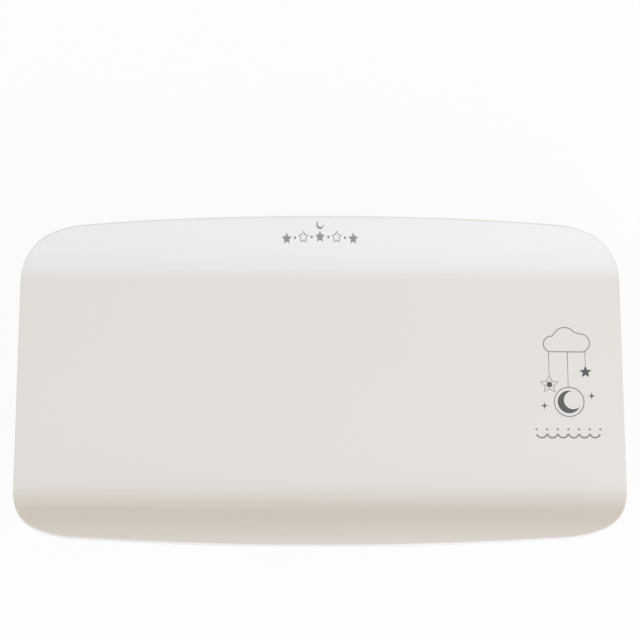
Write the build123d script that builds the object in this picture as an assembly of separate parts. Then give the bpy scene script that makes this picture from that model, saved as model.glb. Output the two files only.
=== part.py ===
from build123d import *
import os
from math import asin, atan2, cos, degrees, pi, radians, sin, sqrt, tan

# A digital baby scale. The frame stands on the table under the middle of the tray:
# +Z up, X along the tray, and the display looks towards -Y. All sizes are millimetres.

# ---------------------------------------------------------------- driving dimensions

# Tray: a trough of constant section, cut to a plan with bowed long edges.
tray_length = 550.0
tray_depth = 300.0
tray_wall = 2.8
tray_gap = 7.2  # from the top of the housing to the underside of the tray floor
long_edge_radius = 3300.0
corner_soft_radius = 100.0  # corner arc next to the long edge
corner_tight_radius = 42.0  # corner arc next to the short edge
corner_change = 23.0  # direction, in degrees, where one corner arc passes into the other
# A lip is a row of arcs from the flat floor to the rim. Each is given by its radius and the slope, in
# degrees, that it ends with. Hollow arcs come first; the last one is a crown, with a negative radius.
front_lip = [(34.0, 39.0), (150.0, 43.0), (-72.0, 17.0)]
rear_lip = [(30.0, 19.0), (78.0, 50.0), (-16.0, 14.0)]
skirt_drop = 9.0
skirt_wall = 2.4
rim_round = 1.1
rim_run_on = 12.0  # the section runs on this far past the rim before it is cut to plan
rib_wall = 1.5
rib_depth = 4.0
rib_pitch = 43.0
rib_root = 0.1  # the ribs start inside the floor
boss_radius = 7.5
post_pitch_x = 260.0
post_pitch_y = 124.0
sleeve_radius = 7.0  # sleeves between the carrier and the tray's bosses
tray_screw_bite = 4.8

# Base housing.
foot_stand = 5.0  # the feet hold the underside this far off the table
floor_wall = 2.5
base_length = 424.0
base_depth = 252.0
base_rear_y = 118.0
base_corner = 60.0
base_draft = 9.0
base_wall = 2.5
base_round = 5.0
base_edge_chamfer = 1.2
roof_gap = 2.0  # from the tray carrier up to the roof of the housing
panel_lean = 30.0  # the sloped front leans back from upright
panel_foot = 4.0  # plain wall below the sloped front
sleeve_clearance = 3.0
collar_wall = 2.5
collar_height = 1.4
case_boss_radius = 4.0
case_cup_wall = 1.5
case_cup_height = 3.0
side_screw_inset = 20.0  # from the side wall
side_screw_pitch = 114.0
front_screw_inset = 24.0
front_screw_pitch = 260.0
rear_screw_inset = 14.0
rear_screw_pitch = 124.0
housing_rib_wall = 1.6
roof_rib_depth = 6.0
roof_rib_reach = 30.0  # from the rear wall
floor_rib_height = 2.5
floor_rib_pitch = 40.0
floor_rib_start = 52.0  # behind the front, where the circuit board is past
rib_clearing = 6.5  # radius left free of ribs round bolts and stops
lip_gap = 0.9  # from the upper housing's wall to the locating lip
lip_wall = 1.6
reveal = 0.6  # the lower housing stands this far inside the upper one

# Feet.
foot_radius = 15.0
foot_pocket_depth = 3.5
foot_inset_x = 47.0
foot_inset_y = 39.0
foot_pocket_wall = 3.5
foot_edge_round = 1.5
foot_groove_depth = 0.8
foot_groove_outer = 10.5
foot_groove_inner = 9.0

# Load cell and the plates it is bolted to.
cell_length = 130.0
cell_width = 30.0
cell_height = 22.0
cell_hole_radius = 8.0
cell_hole_pitch = 21.0
cell_bolt_radius = 2.5
cell_bolt_pitch = 20.0
cell_bolt_end = 12.0  # from the bar's end to its outer bolt
cell_bolt_bite = 11.0
cell_thread_depth = 14.0
cell_slot_height = 4.0  # slot that joins the two holes of the weak section
gauge_length = 9.0
gauge_width = 6.0
gauge_thickness = 0.15
sealant_height = 1.5
sealant_width = 14.0
sealant_margin = 8.0  # beyond the middles of the two gauges
sealant_round = 5.0
spacer_start = 22.0  # the spacers end this far from the middle of the bar
spacer_height = 2.5
carrier_thickness = 3.0
carrier_arm = 34.0
carrier_pad_margin = 2.0
carrier_inner_round = 6.0
carrier_hole_length = 24.0
carrier_hole_width = 16.0
chassis_thickness = 2.5
chassis_length = 190.0
chassis_depth = 100.0
chassis_corner = 8.0
chassis_lift = 3.5
chassis_boss_radius = 4.5
chassis_screw_inset = 7.0
chassis_screw_pitch = 48.0
tray_travel = 0.8
stop_spare = 0.2  # the stops stand this much further off than the tray travels
stop_share = 0.55  # how far out along the carrier's arms the corner stops stand
stop_radius = 4.6  # over the corners of the hexagon
stop_chamfer = 0.6
stop_nut_radius = 4.0
stop_nut_height = 2.2
stop_stud_end = 0.6  # the stud shows this much past its nut
overload_inset = 5.0  # from the free end of the bar
overload_low = 1.5
overload_key = 1.5

# Display and keys, laid out on the sloped front; depths are measured inwards from it.
panel_middle = -1.0  # the lens sits this far up the slope from its middle
lens_length = 178.0
lens_height = 30.0
lens_thickness = 1.8
lens_corner = 6.0
lens_fit = 0.15
window_length = 64.0
window_height = 19.0
window_corner = 2.0
window_fit = 0.05
pad_depth = 5.5  # the thick pad behind the lens ends here
pad_margin_x = 4.0
pad_margin_y = 2.5
pad_opening = 1.0  # the pad's window opening is this much larger all round
glass_gap = 0.1
lcd_length = 72.0
lcd_height = 26.0
lcd_thickness = 2.8
lcd_fit = 0.2
lcd_holder_wall = 2.0
strip_width = 2.0
strip_inset = 3.0
guide_inset = 5.0
guide_gap = 1.5
guide_lift = 1.2  # from the circuit board to the light guide
led_inset = 3.2
led_width = 2.4
led_length = 8.0
led_height = 2.2
key_radius = 6.0
key_clearance = 0.3
key_proud = 1.2
key_travel = 0.8
key_pitch = 19.0
key_start = 51.0  # from the middle of the panel to the first key
key_wall = 1.2
key_roof = 1.8
key_edge_round = 0.9
key_stem_radius = 2.2
key_root = 0.2  # the stem starts inside the cap's roof
flange_reach = 1.4
flange_gap = 0.1  # from the pad to the flange of a key at rest
flange_end = 1.5  # from the pad to the underside of the flange
plunger_length = 2.6
plunger_radius = 1.7
plunger_clearance = 0.3
switch_gap = 1.4  # from a key at rest to the body of its switch
switch_size = 6.0
board_gap = 7.0  # from the pad to the circuit board
board_thickness = 1.6
board_length = 172.0
board_height = 32.0
board_corner = 2.0
board_rise = 1.0  # the board sits this much further up the slope than the lens
board_boss_radius = 3.0
board_screw_inset = 4.0
board_screw_low = -9.0
board_screw_high = 10.0
board_screw_bite = 4.2
board_thread_depth = 8.0
connector_height = 5.8
connector_depth = 5.6
cell_plug_x = -36.0
cell_plug_width = 13.0
battery_plug_x = -62.0
battery_plug_width = 7.5
lead_spread = 1.6  # each battery lead from the middle of its plug

# Batteries and their bay.
battery_radius = 7.1
battery_length = 50.0
battery_edge_round = 0.6
button_height = 1.0
button_radius = 2.75
battery_count = 4
spring_room = 5.4
spring_wire_radius = 0.4
spring_radius = 4.2
spring_end_radius = 3.2
spring_turns = 3.5
spring_steps = 10  # bends in one turn
contact_thickness = 0.4
contact_half_height = 5.5
contact_width = 9.0
tab_lift = 5.0  # above the middle of a cell
tab_width = 3.0
tab_reach = 3.0  # the terminal tabs stand this far out of the bay's front wall
tab_slot_side = 0.3
tab_slot_under = 0.5
bay_clearance = 0.4
bay_side = 0.6
bay_roof_gap = 0.4
bay_floor_gap = 0.7  # from the door to the cells
bay_wall = 1.8
bay_ledge = 2.1
bay_fin = 2.6
fin_wall = 1.0
fin_inset = 5.0
bay_inset = 57.0  # from the side of the housing to the middle of the bay
bay_y = 8.0
door_thickness = 2.2
door_margin = 2.5  # the door overlaps the bay's mouth by this much
door_gap = 0.3
door_seat = 0.2  # from the shut door to the ledge above it
recess_wall = 3.0
hinge_cover = 1.4
hinge_pin_radius = 1.2
hinge_pin_length = 2.0
hinge_end_gap = 0.5
hinge_end_wall = 1.6
hinge_fit = 0.06
latch_width = 24.0
latch_reach = 9.0
latch_overlap = 1.0
latch_wall = 4.0
finger_width = 14.0
finger_thickness = 1.2
finger_height = 4.5
finger_room = 1.2
finger_side = 1.0
nub_depth = 0.6
nub_height = 1.4
grip_count = 4
grip_pitch = 2.2
grip_start = 3.0
grip_width = 0.9
grip_depth = 0.6

# Fasteners and wires.
small_screw_radius = 1.5
small_head_radius = 2.9
small_head_height = 2.2
board_screw_radius = 1.1
board_head_radius = 2.0
board_head_height = 1.6
case_screw_radius = 1.75
case_screw_length = 10.6
case_head_radius = 3.4
case_head_height = 2.4
case_bore_depth = 3.4
case_bore_side = 0.4
case_thread_depth = 12.0
cell_head_radius = 4.6
cell_head_height = 2.6
csk_radius = 5.0
csk_height = 2.6
csk_key = 1.7
csk_key_depth = 0.8
stop_stud_radius = 2.0
thread_clearance = 0.05
thread_spare = 1.0  # a blind hole is this much deeper than its screw
screw_clearance = 0.25
foot_fit = 0.15
cell_cable_diameter = 4.0
cell_cable_fit = 0.3
cell_cable_bore = 2.0
lead_diameter = 1.6
run_share = 0.45  # each bend of a lead or spring takes this share of the shorter run beside it
past = 1.0  # cutting shapes run this far past the faces they cut

# ---------------------------------------------------------------- derived levels

case_z = foot_stand + floor_wall  # parting line between the two housings
chassis_z = case_z + chassis_lift
chassis_top_z = chassis_z + chassis_thickness
cell_z = chassis_top_z + spacer_height
cell_top_z = cell_z + cell_height
carrier_z = cell_top_z + spacer_height
carrier_top_z = carrier_z + carrier_thickness
base_top_z = carrier_top_z + roof_gap + base_wall
tray_under_z = base_top_z + tray_gap
tray_floor_z = tray_under_z + tray_wall
tray_boss_z = tray_under_z - rib_depth
stop_gap = tray_travel + stop_spare
base_y = base_rear_y - base_depth / 2
base_front_y = base_rear_y - base_depth
slope = radians(panel_lean)
panel_foot_y = base_front_y + panel_foot * tan(radians(base_draft))
panel_rise = base_top_z - case_z - panel_foot
panel = Plane(
    origin=(0, panel_foot_y + panel_rise / 2 * tan(slope), base_top_z - panel_rise / 2),
    x_dir=(1, 0, 0),
    z_dir=(0, -cos(slope), sin(slope)),
)
glass_depth = pad_depth + glass_gap
glass_back = glass_depth + lcd_thickness
cap_foot = pad_depth + flange_end
switch_top = cap_foot + switch_gap
board_depth = pad_depth + board_gap
board_back = board_depth + board_thickness
board_middle = panel_middle + board_rise
board_screw_places = [
    (side * (board_length / 2 - board_screw_inset), board_middle + height)
    for side in (-1, 1)
    for height in (board_screw_low, board_screw_high)
]
key_places = {
    "power": -key_start - key_pitch,
    "unit": -key_start,
    "hold": key_start,
    "tare": key_start + key_pitch,
}

cell_bolt_places = (
    cell_length / 2 - cell_bolt_end,
    cell_length / 2 - cell_bolt_end - cell_bolt_pitch,
)
cell_cable_z = cell_z + cell_height / 2
overload_x = cell_length / 2 - overload_inset
case_head_z = foot_stand + case_bore_depth
cup_top_z = case_z + case_cup_height

battery_pitch = 2 * battery_radius + bay_clearance
bay_length = battery_count * battery_pitch - bay_clearance + 2 * bay_side
bay_depth = battery_length + spring_room + 2 * contact_thickness
bay_x = bay_inset - base_length / 2
bay_front = bay_y - bay_depth / 2
bay_rear = bay_y + bay_depth / 2
battery_z = foot_stand + door_thickness + bay_floor_gap + battery_radius
bay_roof_z = battery_z + battery_radius + bay_roof_gap
recess_top = foot_stand + door_thickness + door_seat
door_length = bay_length + 2 * door_margin
door_front = bay_front - door_margin
hinge_radius = door_thickness
hinge_y = bay_rear + bay_wall + hinge_radius + door_gap
hinge_z = foot_stand + hinge_radius
latch_y = door_front - latch_reach / 2 + latch_overlap
finger_y = latch_y - latch_overlap
tab_z = battery_z + tab_lift
tab_length = bay_wall + tab_reach
terminal_places = (
    bay_x - bay_length / 2 + bay_side + battery_radius,
    bay_x + bay_length / 2 - bay_side - battery_radius,
)


def lip_run(lip):
    """Width of a lip, from the flat floor to the rim."""
    run = 0.0
    slope = 0.0
    for radius, end in lip:
        run += radius * (sin(radians(end)) - sin(slope))
        slope = radians(end)
    return run


front_floor_y = -tray_depth / 2 + lip_run(front_lip)
rear_floor_y = tray_depth / 2 - lip_run(rear_lip)


# ---------------------------------------------------------------- shared shapes


def write(name, *solids):
    """Write one node, as one solid or as a group of like solids."""
    shape = solids[0] if len(solids) == 1 else Compound(children=list(solids))
    export_step(shape, f"parts/{name}.step")


def disc(x, y, low, high, radius):
    return Pos(x, y, low) * Cylinder(radius, high - low, align=(Align.CENTER, Align.CENTER, Align.MIN))


def block(x, y, low, high, length, depth):
    return Pos(x, y, low) * Box(length, depth, high - low, align=(Align.CENTER, Align.CENTER, Align.MIN))


def rounded(length, depth, corner):
    return RectangleRounded(length, depth, corner)


def on_panel(x, y, outer, inner, shape):
    """Extrude a flat shape between two depths on the sloped front, outwards positive."""
    place = panel.offset(inner) * Pos(x, y)
    return extrude(place * shape, amount=outer - inner)


def pan_screw(length, radius, head_radius, head_height):
    """Cross-head screw, the underside of its head at z = 0 and its shank hanging down."""
    head = disc(0, 0, 0, head_height, head_radius)
    head = fillet(head.faces().sort_by(Axis.Z)[-1].edges(), head_height * 0.4)
    cross = block(0, 0, head_height * 0.45, head_height + 1, head_radius * 1.1, radius * 0.5)
    cross += block(0, 0, head_height * 0.45, head_height + 1, radius * 0.5, head_radius * 1.1)
    return head - cross + disc(0, 0, -length, 0, radius)


def eased_path(points):
    """Straight runs joined by tangent arcs, as large as the runs allow, and the arcs' radii."""
    points = [Vector(*point) for point in points]
    radii = []
    for before, here, after in zip(points, points[1:], points[2:]):
        run_in = here - before
        run_out = after - here
        turn = radians(run_in.get_angle(run_out))
        radii.append(run_share * min(run_in.length, run_out.length) / tan(turn / 2))
    return FilletPolyline(*points, radius=radii), radii


def round_bar(path, diameter):
    return sweep(Plane(origin=path @ 0, z_dir=path % 0) * Circle(diameter / 2), path=path)


def facing_up(x, y, z, shape):
    return Pos(x, y, z) * shape


def facing_down(x, y, z, shape):
    return Pos(x, y, z) * Rot(180, 0, 0) * shape


def corners(half_x, half_y, middle_x=0.0, middle_y=0.0):
    return [(middle_x + sx * half_x, middle_y + sy * half_y) for sx in (-1, 1) for sy in (-1, 1)]


foot_places = corners(base_length / 2 - foot_inset_x, base_depth / 2 - foot_inset_y, 0, base_y)
post_places = corners(post_pitch_x / 2, post_pitch_y / 2)
stop_places = corners(post_pitch_x / 2 * stop_share, post_pitch_y / 2 * stop_share)
case_screw_places = (
    corners(base_length / 2 - side_screw_inset, side_screw_pitch / 2)
    + [(side * front_screw_pitch / 2, base_front_y + front_screw_inset) for side in (-1, 1)]
    + [(side * rear_screw_pitch / 2, base_rear_y - rear_screw_inset) for side in (-1, 1)]
)
chassis_screw_places = corners(chassis_length / 2 - chassis_screw_inset, chassis_screw_pitch / 2)
chassis_screw_places += [(0, side * (chassis_depth / 2 - chassis_screw_inset)) for side in (-1, 1)]


# ---------------------------------------------------------------- tray


def tray_plan(inset):
    """Outline of the tray from above, moved inwards by inset."""
    long_r = long_edge_radius - inset
    soft_r = corner_soft_radius - inset
    tight_r = corner_tight_radius - inset
    change = radians(corner_change)
    half = tray_length / 2 - inset
    start = asin((half - tight_r - (soft_r - tight_r) * sin(change)) / (long_r - soft_r))
    long_y = tray_depth / 2 - inset - long_r
    soft = (long_r - soft_r) * sin(start), long_y + (long_r - soft_r) * cos(start)
    tight = soft[0] + (soft_r - tight_r) * sin(change), soft[1] + (soft_r - tight_r) * cos(change)

    def point(middle, radius, angle):
        return middle[0] + radius * sin(angle), middle[1] + radius * cos(angle)

    middle_top = (0, tray_depth / 2 - inset)
    edge_end = point(soft, soft_r, start)
    soft_end = point(tight, tight_r, change)
    side_end = (half, tight[1])
    quarter = (
        ThreePointArc(middle_top, point((0, long_y), long_r, start / 2), edge_end)
        + ThreePointArc(edge_end, point(soft, soft_r, (start + change) / 2), soft_end)
        + ThreePointArc(soft_end, point(tight, tight_r, (change + radians(90)) / 2), side_end)
        + Line(side_end, (half, 0))
    )
    half_line = quarter + mirror(quarter, Plane.XZ)
    return make_face(half_line + mirror(half_line, Plane.YZ))


def lip_points(lip, sink):
    """Points of one lip, outwards from the flat floor, sunk square to the surface by sink.

    After the first one come the middle and the end of each arc, and last a point past the rim.
    """
    u = v = slope = 0.0
    points = [(0.0, -sink)]
    for radius, end in lip:
        for goal in ((slope + radians(end)) / 2, radians(end)):
            u += radius * (sin(goal) - sin(slope))
            v += radius * (cos(slope) - cos(goal))
            slope = goal
            points.append((u + sink * sin(slope), v - sink * cos(slope)))
    u, v = points[-1]
    points.append((u + rim_run_on * cos(slope), v + rim_run_on * sin(slope)))
    return points


def trough_line(sink, drop=0.0):
    """Section line of the trough in the YZ plane, from beyond the front rim to beyond the rear rim."""
    front = [(0, front_floor_y - u, tray_floor_z - drop + v) for u, v in lip_points(front_lip, sink)]
    rear = [(0, rear_floor_y + u, tray_floor_z - drop + v) for u, v in lip_points(rear_lip, sink)]
    line = Line(front[0], rear[0])
    for side in (front, rear):
        for n in range(0, len(side) - 2, 2):
            line += ThreePointArc(side[n], side[n + 1], side[n + 2])
        line += Line(side[-2], side[-1])
    return line, front[-1], rear[-1]


def trough_band(upper, lower):
    """Everything between two section lines, along the whole tray."""
    line, front_end, rear_end = upper
    under, under_front, under_rear = lower
    face = make_face(line + under + Line(front_end, under_front) + Line(rear_end, under_rear))
    return extrude(face, amount=tray_length * 0.6, dir=(1, 0, 0), both=True)


def plan_prism(inset):
    return extrude(Plane.XY * tray_plan(inset), amount=tray_floor_z * 3)


def rim_edges(body, wall):
    """Edges of the trough's top surface that lie on the tray's outline."""
    found = []
    for edge in body.edges():
        if abs((edge % 0.5).Z) < 0.99 and (edge @ 0.5).Z > tray_floor_z - 0.01:
            if wall.distance_to(edge @ 0.5) < 0.001 and wall.distance_to(edge @ 0.2) < 0.001:
                found.append(edge)
    return found


def make_tray():
    inner = plan_prism(skirt_wall)
    body = trough_band(trough_line(0), trough_line(0, skirt_drop)) & plan_prism(0)
    wall = Shell([face for face in plan_prism(0).faces() if abs(face.normal_at().Z) < 0.5])
    body = fillet(rim_edges(body, wall), rim_round)
    shell = body - (trough_band(trough_line(tray_wall), trough_line(0, skirt_drop + past)) & inner)
    under = trough_band(trough_line(tray_wall - rib_root), trough_line(tray_wall + rib_depth)) & inner
    bars = []
    for sign in (-1, 1):
        for n in range(int(tray_length / 2 / rib_pitch) + 1):
            bars.append(block(sign * (n + 0.5) * rib_pitch, 0, 0, tray_floor_z * 3, rib_wall, tray_depth))
        for n in range(int(tray_depth / 2 / rib_pitch) + 1):
            bars.append(block(0, sign * (n + 0.5) * rib_pitch, 0, tray_floor_z * 3, tray_length, rib_wall))
    tray = shell + (under & (Part() + bars))
    hole_top = tray_boss_z + tray_screw_bite + thread_spare / 2
    for x, y in post_places:
        tray += disc(x, y, tray_boss_z, tray_under_z + tray_wall / 2, boss_radius)
        tray -= disc(x, y, tray_boss_z - past, hole_top, small_screw_radius + thread_clearance)
    return tray


def make_sleeve():
    hole = disc(0, 0, carrier_z, tray_boss_z + past, small_screw_radius + screw_clearance)
    return disc(0, 0, carrier_top_z, tray_boss_z, sleeve_radius) - hole


# ---------------------------------------------------------------- base housings


def case_body(inset):
    """Outside of the housing moved inwards by inset, from the parting line up."""
    size = base_length - 2 * inset, base_depth - 2 * inset
    plan = Pos(0, base_y, case_z) * RectangleRounded(*size, base_corner - inset)
    body = extrude(plan, amount=base_top_z - inset - case_z, taper=base_draft)
    front = Box(base_length, base_depth, base_depth, align=(Align.CENTER, Align.CENTER, Align.MIN))
    body -= panel.offset(-inset) * front
    top = base_top_z - inset
    rim = [edge for edge in body.edges() if (edge @ 0.5).Z > top - 0.01]
    return fillet(rim, base_round - inset)


def make_base_top():
    outside = case_body(0)
    inside = case_body(base_wall)
    body = outside - inside
    # A thick pad behind the display lens carries the recess, the keys and the circuit board.
    pad = rounded(lens_length + 2 * pad_margin_x, lens_height + 2 * pad_margin_y, lens_corner)
    body += on_panel(0, panel_middle, past, -pad_depth, pad) & outside
    # Screw bosses hang from the roof down to the cups of the lower housing.
    for x, y in case_screw_places:
        body += disc(x, y, cup_top_z, base_top_z, case_boss_radius) & outside
    for x, y in board_screw_places:
        body += on_panel(x, y, -pad_depth / 2, -board_depth, Circle(board_boss_radius))
    # Short ribs stiffen the roof along the rear wall.
    rib_low = base_top_z - base_wall - roof_rib_depth
    for n in range(-3, 4):
        x = n * floor_rib_pitch
        body += block(x, base_rear_y, rib_low, base_top_z, housing_rib_wall, 2 * roof_rib_reach) & inside
    # Collars keep water out of the holes that the tray's sleeves come up through.
    hole = sleeve_radius + sleeve_clearance
    for x, y in post_places:
        body += disc(x, y, base_top_z - base_wall / 2, base_top_z + collar_height, hole + collar_wall)
        body -= disc(x, y, base_top_z - 2 * base_wall, base_top_z + 2 * collar_height, hole)
    hole = case_screw_radius + thread_clearance
    for x, y in case_screw_places:
        body -= disc(x, y, cup_top_z - past, cup_top_z + case_thread_depth, hole)
    hole = Circle(board_screw_radius + thread_clearance)
    for x, y in board_screw_places:
        body -= on_panel(x, y, board_thread_depth - board_depth, -board_depth - past, hole)
    lens = rounded(lens_length + 2 * lens_fit, lens_height + 2 * lens_fit, lens_corner + lens_fit)
    body -= on_panel(0, panel_middle, past, -lens_thickness, lens)
    opening = rounded(window_length + 2 * pad_opening, window_height + 2 * pad_opening, window_corner)
    body -= on_panel(0, panel_middle, 0, -pad_depth - past, opening)
    for x in key_places.values():
        body -= on_panel(x, panel_middle, 0, -pad_depth - past, Circle(key_radius + key_clearance))
    return body


def make_base_bottom():
    size = base_length - 2 * reveal, base_depth - 2 * reveal
    plan = Pos(0, base_y, foot_stand) * RectangleRounded(*size, base_corner - reveal)
    body = extrude(plan, amount=floor_wall)
    body = chamfer(body.faces().sort_by(Axis.Z)[0].edges(), base_edge_chamfer)
    lip_outer = base_wall + lip_gap
    lip_inner = lip_outer + lip_wall

    def ring_plan(inset):
        flat = RectangleRounded(base_length - 2 * inset, base_depth - 2 * inset, base_corner - inset)
        return Pos(0, base_y, case_z) * flat

    body += extrude(ring_plan(lip_outer) - ring_plan(lip_inner), amount=case_cup_height)
    # A grid of ribs under the load cell, left open in front for the circuit board.
    rib_area = extrude(ring_plan(lip_inner), amount=floor_rib_height)
    rib_area &= block(0, base_rear_y, 0, base_top_z, base_length, 2 * (base_depth - floor_rib_start))
    grid = []
    for n in range(int(base_length / 2 / floor_rib_pitch) + 1):
        for side in (-1, 1):
            x = side * (n + 0.5) * floor_rib_pitch
            grid.append(block(x, base_y, 0, base_top_z, housing_rib_wall, base_depth))
    rows = int(base_depth / 2 / floor_rib_pitch)
    for n in range(-rows, rows + 1):
        y = base_y + n * floor_rib_pitch
        grid.append(block(0, y, 0, base_top_z, base_length, housing_rib_wall))
    for x, y in stop_places + [(overload_x, 0)] + [(-x, 0) for x in cell_bolt_places]:
        rib_area -= disc(x, y, case_z, chassis_z, rib_clearing)
    body += rib_area & (Part() + grid)
    low = foot_stand - past
    pocket_top = foot_stand + foot_pocket_depth
    for x, y in foot_places:
        body += disc(x, y, case_z, pocket_top + floor_wall, foot_radius + foot_pocket_wall)
        body -= disc(x, y, low, pocket_top, foot_radius + foot_fit)
    for x, y in case_screw_places:
        body += disc(x, y, case_z, cup_top_z, case_boss_radius + case_cup_wall)
        body -= disc(x, y, low, cup_top_z + past, case_screw_radius + screw_clearance)
        body -= disc(x, y, low, case_head_z, case_head_radius + case_bore_side)
    for x, y in chassis_screw_places:
        body += disc(x, y, case_z, chassis_z, chassis_boss_radius)
        body -= disc(x, y, case_z - thread_spare, chassis_z + past, small_screw_radius + thread_clearance)
    return make_battery_bay(body)


def span(x, low_y, high_y, low, high, length):
    """Block given by its two ends along Y."""
    return block(x, (low_y + high_y) / 2, low, high, length, high_y - low_y)


def make_battery_bay(body):
    """Add the battery bay, its door recess and the hinge housing to the lower housing."""
    low = foot_stand - past
    root = case_z - past
    flange_top = recess_top + bay_ledge
    recess_front = door_front - door_gap
    recess_length = door_length + 2 * door_gap
    barrel = hinge_radius + door_gap
    pin_span = door_length + 2 * hinge_pin_length
    hinge_depth = 2 * (barrel + hinge_cover)
    hinge_top = hinge_z + barrel + hinge_cover
    flange_length = recess_length + 2 * recess_wall
    body += span(bay_x, recess_front - recess_wall, bay_rear, root, flange_top, flange_length)
    latch_housing = latch_width + 2 * latch_wall, latch_reach + 2 * latch_wall
    body += block(bay_x, latch_y, root, flange_top, *latch_housing)
    outer = bay_length + 2 * bay_wall, bay_depth + 2 * bay_wall
    body += block(bay_x, bay_y, root, bay_roof_z + bay_wall, *outer)
    body += block(bay_x, hinge_y, root, hinge_top, pin_span + 2 * hinge_end_wall, hinge_depth)
    body -= block(bay_x, bay_y, low, bay_roof_z, bay_length, bay_depth)
    body -= span(bay_x, recess_front, hinge_y + barrel, low, recess_top, recess_length)
    latch_room = latch_width + 2 * door_gap, latch_reach + 2 * door_gap
    body -= block(bay_x, latch_y, low, recess_top, *latch_room)
    finger_space = finger_width + 2 * finger_side, 2 * finger_room + finger_thickness
    body -= block(bay_x, finger_y, low, flange_top + past, *finger_space)
    along = Pos(bay_x, hinge_y, hinge_z) * Rot(0, 90, 0)
    body -= along * Cylinder(barrel, recess_length)
    body -= along * Cylinder(hinge_pin_radius + hinge_fit, pin_span + 2 * hinge_end_gap)
    # Fins between the cells, and two slots for the terminal tabs.
    fin_length = battery_length - 2 * fin_inset
    for n in range(1, battery_count):
        x = bay_x - bay_length / 2 + bay_side + n * battery_pitch - bay_clearance / 2
        body += block(x, bay_y, bay_roof_z - bay_fin, bay_roof_z + past, fin_wall, fin_length)
    slot_low = tab_z - tab_slot_under
    slot_top = tab_z + contact_thickness + tab_slot_under
    slot_width = tab_width + 2 * tab_slot_side
    for x in terminal_places:
        body -= span(x, bay_front - 2 * bay_wall, bay_front + past, slot_low, slot_top, slot_width)
    return body


def make_feet():
    feet = []
    for x, y in foot_places:
        foot = disc(x, y, 0, foot_stand + foot_pocket_depth, foot_radius)
        foot = fillet(foot.faces().sort_by(Axis.Z)[0].edges(), foot_edge_round)
        groove = disc(x, y, -past, foot_groove_depth, foot_groove_outer)
        groove -= disc(x, y, -past, foot_groove_depth, foot_groove_inner)
        feet.append(foot - groove)
    return feet


# ---------------------------------------------------------------- load cell and plates


def make_load_cell():
    body = block(0, 0, cell_z, cell_top_z, cell_length, cell_width)
    middle = (cell_z + cell_top_z) / 2
    across = Rot(90, 0, 0) * Cylinder(cell_hole_radius, cell_width)
    for side in (-1, 1):
        body -= Pos(side * cell_hole_pitch / 2, 0, middle) * across
    half_slot = cell_slot_height / 2
    body -= block(0, 0, middle - half_slot, middle + half_slot, cell_hole_pitch, cell_width)
    hole = cell_bolt_radius + thread_clearance
    for x in cell_bolt_places:
        body -= disc(-x, 0, cell_z - past, cell_z + cell_thread_depth, hole)
        body -= disc(x, 0, cell_top_z - cell_thread_depth, cell_top_z + past, hole)
    # The lead leaves through a shallow hole in the fixed end.
    bore = Rot(0, 90, 0) * Cylinder(cell_cable_diameter / 2 + cell_cable_fit, 2 * cell_cable_bore)
    return body - Pos(-cell_length / 2, 0, cell_cable_z) * bore


def make_gauges():
    """Four thin gauges over the weak sections, two on top and two underneath."""
    gauges = []
    for x in (-cell_hole_pitch / 2, cell_hole_pitch / 2):
        for low in (cell_top_z, cell_z - gauge_thickness):
            gauges.append(block(x, 0, low, low + gauge_thickness, gauge_length, gauge_width))
    return gauges


def make_sealant(gauges):
    """Soft sealant poured over each pair of gauges."""
    beads = []
    for low in (cell_top_z, cell_z - sealant_height):
        length = cell_hole_pitch + 2 * sealant_margin
        bead = block(0, 0, low, low + sealant_height, length, sealant_width)
        bead = fillet(bead.edges().filter_by(Axis.Z), sealant_round)
        for gauge in gauges:
            bead -= gauge
        beads.append(bead)
    return beads


def make_spacer(low, side):
    length = cell_length / 2 - spacer_start
    middle = side * (spacer_start + length / 2)
    body = block(middle, 0, low, low + spacer_height, length, cell_width)
    hole = cell_bolt_radius + screw_clearance
    for x in cell_bolt_places:
        body -= disc(side * x, 0, low - past, low + spacer_height + past, hole)
    return body


def make_chassis():
    body = block(0, 0, chassis_z, chassis_top_z, chassis_length, chassis_depth)
    body = fillet(body.edges().filter_by(Axis.Z), chassis_corner)
    holes = [(-x, 0, cell_bolt_radius + screw_clearance) for x in cell_bolt_places]
    holes += [(x, y, small_screw_radius + screw_clearance) for x, y in chassis_screw_places]
    holes += [(x, y, stop_stud_radius + thread_clearance) for x, y in stop_places]
    holes.append((overload_x, 0, cell_bolt_radius + thread_clearance))
    for x, y, radius in holes:
        body -= disc(x, y, chassis_z - past, cell_z, radius)
    return body


def make_carrier():
    """Steel cross: two arms reaching to the four sleeves, and a pad over the bar's free end."""
    reach = sqrt(post_pitch_x**2 + post_pitch_y**2)
    plate = Part()
    arm = SlotCenterToCenter(reach, carrier_arm)
    for side in (-1, 1):
        turn = Rot(0, 0, side * degrees(atan2(post_pitch_y, post_pitch_x)))
        plate += extrude(Pos(0, 0, carrier_z) * turn * arm, carrier_thickness)
    pad_length = cell_length + 2 * carrier_pad_margin
    plate += block(0, 0, carrier_z, carrier_top_z, pad_length, cell_width)
    inner = [edge for edge in plate.edges().filter_by(Axis.Z) if is_inner_corner(plate, edge)]
    plate = fillet(inner, carrier_inner_round)
    low = carrier_z - past
    high = carrier_top_z + past
    for x, y in post_places:
        plate -= disc(x, y, low, high, small_screw_radius + screw_clearance)
    hole = cell_bolt_radius + screw_clearance
    sink = Cone(hole, csk_radius + screw_clearance, csk_height)
    for x in cell_bolt_places:
        plate -= disc(x, 0, low, high, hole)
        plate -= Pos(x, 0, carrier_top_z - csk_height / 2) * sink
    return plate - block(0, 0, low, high, carrier_hole_length, carrier_hole_width)


def is_inner_corner(plate, edge):
    """True where the plate's outline turns inwards along this upright edge."""
    middle = edge @ 0.5
    probe = disc(middle.X, middle.Y, carrier_z, carrier_top_z, carrier_thickness / 3)
    return (plate & probe).volume > probe.volume * 0.55  # more than half of it is metal


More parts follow.
